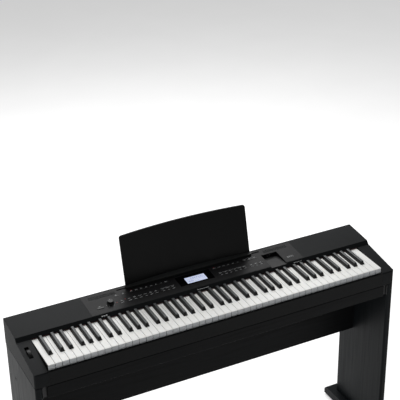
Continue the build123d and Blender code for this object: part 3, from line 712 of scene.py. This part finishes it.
BUTTONS = {
    "buttons_rear_left": (V_REAR, [(-292.0, -276.0), (-266.0, -251.0)]),
    "buttons_tone": (V_REAR, strip(-237.0, -92.0, 8)),
    "buttons_front_left": (V_FRONT, [(-286.0, -269.0)] + strip(-137.0, -82.0, 3)),
    "buttons_rhythm": (V_FRONT, strip(-260.0, -144.0, 6)),
    "buttons_rear_right": (V_REAR, strip(74.0, 183.0, 6)),
    "buttons_song": (V_REAR, strip(192.0, 248.0, 3)),
    "buttons_front_right": (V_FRONT, strip(81.0, 191.0, 6) + strip(200.0, 254.0, 3)),
}
for name, (v, spans) in BUTTONS.items():
    bm = bmesh.new()
    for u0, u1 in spans:
        add_panel_block(bm, u0, u1, v - BTN_H / 2, v + BTN_H / 2, -8.0, 1.0, 0.6, n=3)
    to_object(bm, name + "_caps", ["control"], name + "_set", name, 0.35, 3, 45)

KNOB_U, KNOB_V = -317.0, v_of(206.0)
bm = bmesh.new()
teeth = 44
prof = [(0, 10.6), (6.5, 10.65), (8.4, 10.85), (9.0, 11.0), (9.5, 10.7), (9.8, 9.8), (9.85, 8.0), (9.9, 5.0), (10.0, 3.6),
        (10.8, 2.5), (11.8, 1.9), (12.4, 1.5), (12.6, 1.0), (12.5, 0.55), (4.2, 0.5), (4.2, -4.0), (3.1, -4.0),
        (3.1, 6.9), (0, 6.9)]
lathe(bm, P(KNOB_U, KNOB_V, 0), PNORM, Vector((1, 0, 0)), prof, 176,
      ripple=lambda k, i: (-0.22 if (i % 4) < 2 else 0.0) if 5 <= k <= 8 else 0.0)
add_panel_block(bm, KNOB_U - 0.45, KNOB_U + 0.45, KNOB_V + 4.0, KNOB_V + 8.6, 10.75, 10.98, 0.3, 1, 3)
to_object(bm, "volume_knob_cap", ["control", "print"], "knob", "volume_knob")

POWER = (-368.0, -345.0, v_of(190.5), v_of(198.5))
bm = bmesh.new()
add_panel_block(bm, *POWER, -8.0, 1.4, 2.0)
to_object(bm, "power_button_cap", ["control"], "power_switch", "power_button", 0.5, 3, 45)

# pitch wheel: ribbed rim with a shallow thumb dish at the top
WX, WY, WR, WWD = -639.0, 97.0, 22.0, 12.0
wlo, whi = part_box("pitch_wheel")
WZ = wlo.z / MM - Z0 + WR
bm = bmesh.new()
half = WWD / 2
cross = [(3.1, -half), (WR - 3.4, -half), (WR - 1.2, -half + 0.1), (WR - 0.25, -half + 0.9), (WR, -half + 2.0),
         (WR, half - 2.0), (WR - 0.25, half - 0.9), (WR - 1.2, half - 0.1), (WR - 3.4, half), (3.1, half)]
NW = 240
rings = []
for i in range(NW):
    a = 2 * math.pi * i / NW
    ca, sa = math.cos(a), math.sin(a)
    ring = []
    for r, x in cross:
        rr = r
        if r > WR - 2.0:
            # dish
            ang = abs(((a - math.pi / 2 + math.pi) % (2 * math.pi)) - math.pi)
            cap = WR
            if ang < 0.36:
                cc = 28.6
                disc = 64.0 - (cc * math.sin(ang)) ** 2
                if disc > 0:
                    cap = cc * math.cos(ang) - math.sqrt(disc)
            rib = 0.0 if ang < 0.42 else (-0.35 if (i % 6) < 2 else 0.0)
            rr = min(r + rib, cap - (WR - r) * 0.4 if cap < WR else r + rib)
        ring.append(bm.verts.new(W(WX + x, WY + rr * ca, WZ + rr * sa)))
    rings.append(ring)
for i in range(NW):
    a, b = rings[i], rings[(i + 1) % NW]
    for k in range(len(cross)):
        j = (k + 1) % len(cross)
        bm.faces.new((a[k], a[j], b[j], b[k]))
to_object(bm, "pitch_wheel_disc", ["control"], "wheel", "pitch_wheel", smooth=True)

# grille inserts: fine ribs over a dark bed, the bed's darkness being painted shade between the ribs
bm = bmesh.new()
gv0, gv1 = v_of(243.0), v_of(262.0)
for sx in (-1, 1):
    u0, u1 = sorted((sx * 281.0, sx * 377.0))
    add_panel_block(bm, u0, u1, gv0, gv1, -2.2, -1.2, mat=1)
    add_panel_block(bm, u0, u1, gv0, gv0 + 1.2, -1.2, -0.1, mat=0)
    add_panel_block(bm, u0, u1, gv1 - 1.2, gv1, -1.2, -0.1, mat=0)
    k = int((u1 - u0) / 1.6)
    for i in range(k + 1):
        uc = u0 + 0.5 + (u1 - u0 - 1.0) * i / k
        add_panel_block(bm, uc - 0.45, uc + 0.45, gv0 + 1.2, gv1 - 1.2, -1.2, -0.2, mat=0)
to_object(bm, "grille_inserts", ["grille", "case_painted_shade"], "root", "panel_grilles", 0.1, 1, 45)

# display
LCD = (-38.0, 37.0, v_of(195.0), v_of(229.0))
bm = bmesh.new()
add_panel_block(bm, LCD[0] + 0.1, LCD[1] - 0.1, LCD[2] + 0.1, LCD[3] - 0.1, -3.0, -0.6, mat=0)
add_panel_block(bm, LCD[0] - 6, LCD[1] + 6, LCD[2] - 4, LCD[3] + 4, -8.0, -3.0, mat=1)
to_object(bm, "display_screen", ["screen", "control"], "root", "lcd_display", 0.1, 1, 45)
bm = bmesh.new()
lw, lh = LCD[1] - LCD[0], LCD[3] - LCD[2]


def ink(a, b, c, d):
    add_panel_block(bm, LCD[0] + a, LCD[0] + b, LCD[2] + c, LCD[2] + d, -0.6, -0.55)


ink(3, lw - 3, lh * 0.5 - 0.18, lh * 0.5 + 0.18)
for i in range(9):
    ink(6 + i * 7.2, 6 + i * 7.2 + (3.0 if i % 3 else 5.0), lh * 0.5 + 4.0, lh * 0.5 + 5.0)
for i in range(6):
    ink(20 + i * 7.5, 20 + i * 7.5 + 4.4, lh * 0.5 + 8.0, lh * 0.5 + 9.6)
for i in range(4):
    ink(8 + i * 10, 8 + i * 10 + 6.0, 5.5, 6.4)
for i in range(5):
    ink(8 + i * 4.4, 8 + i * 4.4 + 2.6, 10.0, 12.6)
to_object(bm, "display_marks", ["screen_ink"], "root")

# ---- printed marks: plain dashes, brackets and dots --------------------------
bm = bmesh.new()
bmr = bmesh.new()


def dash(u, v, w, h=1.0, b=None):
    add_panel_block(bm if b is None else b, u - w / 2, u + w / 2, v - h / 2, v + h / 2, -0.02, 0.05)


def bracket(u0, u1, v, drop=1.6):
    dash((u0 + u1) / 2, v, u1 - u0, 0.45)
    dash(u0 + 0.2, v - drop / 2, 0.45, drop)
    dash(u1 - 0.2, v - drop / 2, 0.45, drop)


rng = random.Random(11)


def row_above(spans, v, gap=5.4, two=False):
    for u0, u1 in spans:
        c = (u0 + u1) / 2
        w = (u1 - u0) * rng.uniform(0.38, 0.62)
        dash(c, v + gap, w, 1.0)
        if two and rng.random() < 0.6:
            dash(c, v + gap + 2.0, w * 0.7, 0.9)


row_above(BUTTONS["buttons_tone"][1], V_REAR, 5.6, True)
row_above(BUTTONS["buttons_rear_right"][1], V_REAR, 5.6)
row_above(BUTTONS["buttons_rear_left"][1], V_REAR, 5.4, True)
row_above(BUTTONS["buttons_song"][1], V_REAR, 5.4, True)
bracket(194.0, 246.0, V_REAR + 9.6)
row_above(BUTTONS["buttons_rhythm"][1], V_FRONT, 5.4, True)
row_above(BUTTONS["buttons_rhythm"][1], V_FRONT, -5.4)
row_above(BUTTONS["buttons_front_left"][1], V_FRONT, 5.4)
row_above(BUTTONS["buttons_front_left"][1], V_FRONT, -5.6)
bracket(-136.0, -84.0, V_FRONT + 9.6)
for a, b in ((84.0, 112.0), (114.0, 148.0), (150.0, 188.0)):
    bracket(a, b, V_FRONT + 8.4)
row_above(BUTTONS["buttons_front_right"][1], V_FRONT, 5.2)
row_above(BUTTONS["buttons_front_right"][1], V_FRONT, -5.4)
for i in range(3):
    for k in range(4):
        dash(347.0 + k * 6.2 + i * 0.8, v_of(194.0) - i * 3.0, 4.6, 0.8)
for a in (-150, -110, 110, 150):
    dash(KNOB_U + 17 * math.sin(math.radians(a)), KNOB_V + 17 * math.cos(math.radians(a)), 1.2, 1.2)
dash(-356.5, v_of(203.5), 8.0, 1.0)
dash(-295.5, V_FRONT + 1.5, 3.2, 1.6, bmr)
dash(-228.0, V_REAR + 9.0, 4.0, 1.8, bmr)
dash(82.0, V_REAR + 9.0, 4.0, 1.8, bmr)
dash(-264.0, V_FRONT + 8.2, 3.0, 1.6, bmr)
to_object(bm, "panel_print_white", ["print"], "root")
to_object(bmr, "panel_print_red", ["print_red"], "root")

# plain marks on the fallboard
bm = bmesh.new()
fy0, fz0, fy1, fz1 = 152.0, 3.5, 163.0, 16.0
fd = Vector((0, fy1 - fy0, fz1 - fz0)).normalized()
fn = Vector((0, -fd.z, fd.y))


def fall(x, t, w, h):
    """Plain bar on the slanted face in front of the top."""
    c = W(x, fy0, fz0) + fd * (t * MM)
    a = fd * (h / 2 * MM)
    ux = Vector((w / 2 * MM, 0, 0))
    base = [c - ux - a, c + ux - a, c + ux + a, c - ux + a]
    add_prism(bm, [p - fn * (0.02 * MM) for p in base], fn * (0.07 * MM))


for k in range(3):
    fall(-366.0 + k * 7.5, 9.0, 6.0, 3.6)
for k in range(6):
    fall(-19.0 + k * 7.5, 9.0, 5.4, 1.7)
for k in range(6):
    fall(356.0 + k * 5.6, 9.0, 3.8, 1.7)
to_object(bm, "fallboard_marks", ["print"], "root")

# ---- floor, light, camera -----------------------------------------------------
bm = bmesh.new()
for p in ((-30, -30), (30, -30), (30, 30), (-30, 30)):
    bm.verts.new((p[0], p[1], -0.0005))
bm.faces.new(bm.verts)
me = bpy.data.meshes.new("floor")
bm.to_mesh(me)
bm.free()
floor = bpy.data.objects.new("floor", me)
bpy.context.scene.collection.objects.link(floor)
fm = Mat("floor_pale", 0.9)
fn_ = fm.noise((3, 3, 3), 2)
fm.colour(fm.mix(fm.remap(fn_, 0.3, 0.7), lin("f6f6f6"), lin("fafafa")))
fm.b.inputs["Emission Color"].default_value = (1, 1, 1, 1)
fm.b.inputs["Emission Strength"].default_value = 0.42
fm.b.inputs["Specular IOR Level"].default_value = 0.0
me.materials.append(fm.m)

world = bpy.data.worlds.new("studio")
world.use_nodes = True
bpy.context.scene.world = world
bg = world.node_tree.nodes["Background"]
bg.inputs[0].default_value = (1, 1, 1, 1)
bg.inputs[1].default_value = 0.2


def area(name, loc, target, size, power, sx=None):
    ld = bpy.data.lights.new(name, "AREA")
    ld.shape = "RECTANGLE"
    ld.size = size
    ld.size_y = sx or size
    ld.energy = power
    lo = bpy.data.objects.new(name, ld)
    lo.location = loc
    lo.rotation_mode = "QUATERNION"
    lo.rotation_quaternion = (Vector(target) - Vector(loc)).to_track_quat("-Z", "Y")
    bpy.context.scene.collection.objects.link(lo)
    return lo


area("top_light", (0.45, 1.9, 3.1), (0, 0.1, 0.75), 3.0, 104)
area("side_light", (-2.0, 0.5, 1.3), (-0.66, 0.1, 0.5), 1.2, 1.4)
bpy.context.scene.view_settings.view_transform = "Standard"

CAM = dict(yaw=0.4584, pitch=0.4816, roll=-0.0174, f=1160.16, pos=(-1473.4, -2815.3, 2079.4))
cy, sy, cp, sp = math.cos(CAM["yaw"]), math.sin(CAM["yaw"]), math.cos(CAM["pitch"]), math.sin(CAM["pitch"])
w = Vector((sy * cp, cy * cp, -sp))
r = Vector((cy, -sy, 0))
t = r.cross(w)
cr, sr = math.cos(CAM["roll"]), math.sin(CAM["roll"])
X = r * cr + t * sr
Y = t * cr - r * sr
rot = Matrix((X, Y, -w)).transposed()
cd = bpy.data.cameras.new("camera")
cd.sensor_width = 36.0
cd.lens = CAM["f"] * 36.0 / 400.0
cd.dof.use_dof = False
cam = bpy.data.objects.new("camera", cd)
cam.matrix_world = Matrix.Translation(W(*CAM["pos"])) @ rot.to_4x4()
bpy.context.scene.collection.objects.link(cam)
bpy.context.scene.camera = cam

bpy.context.view_layer.update()
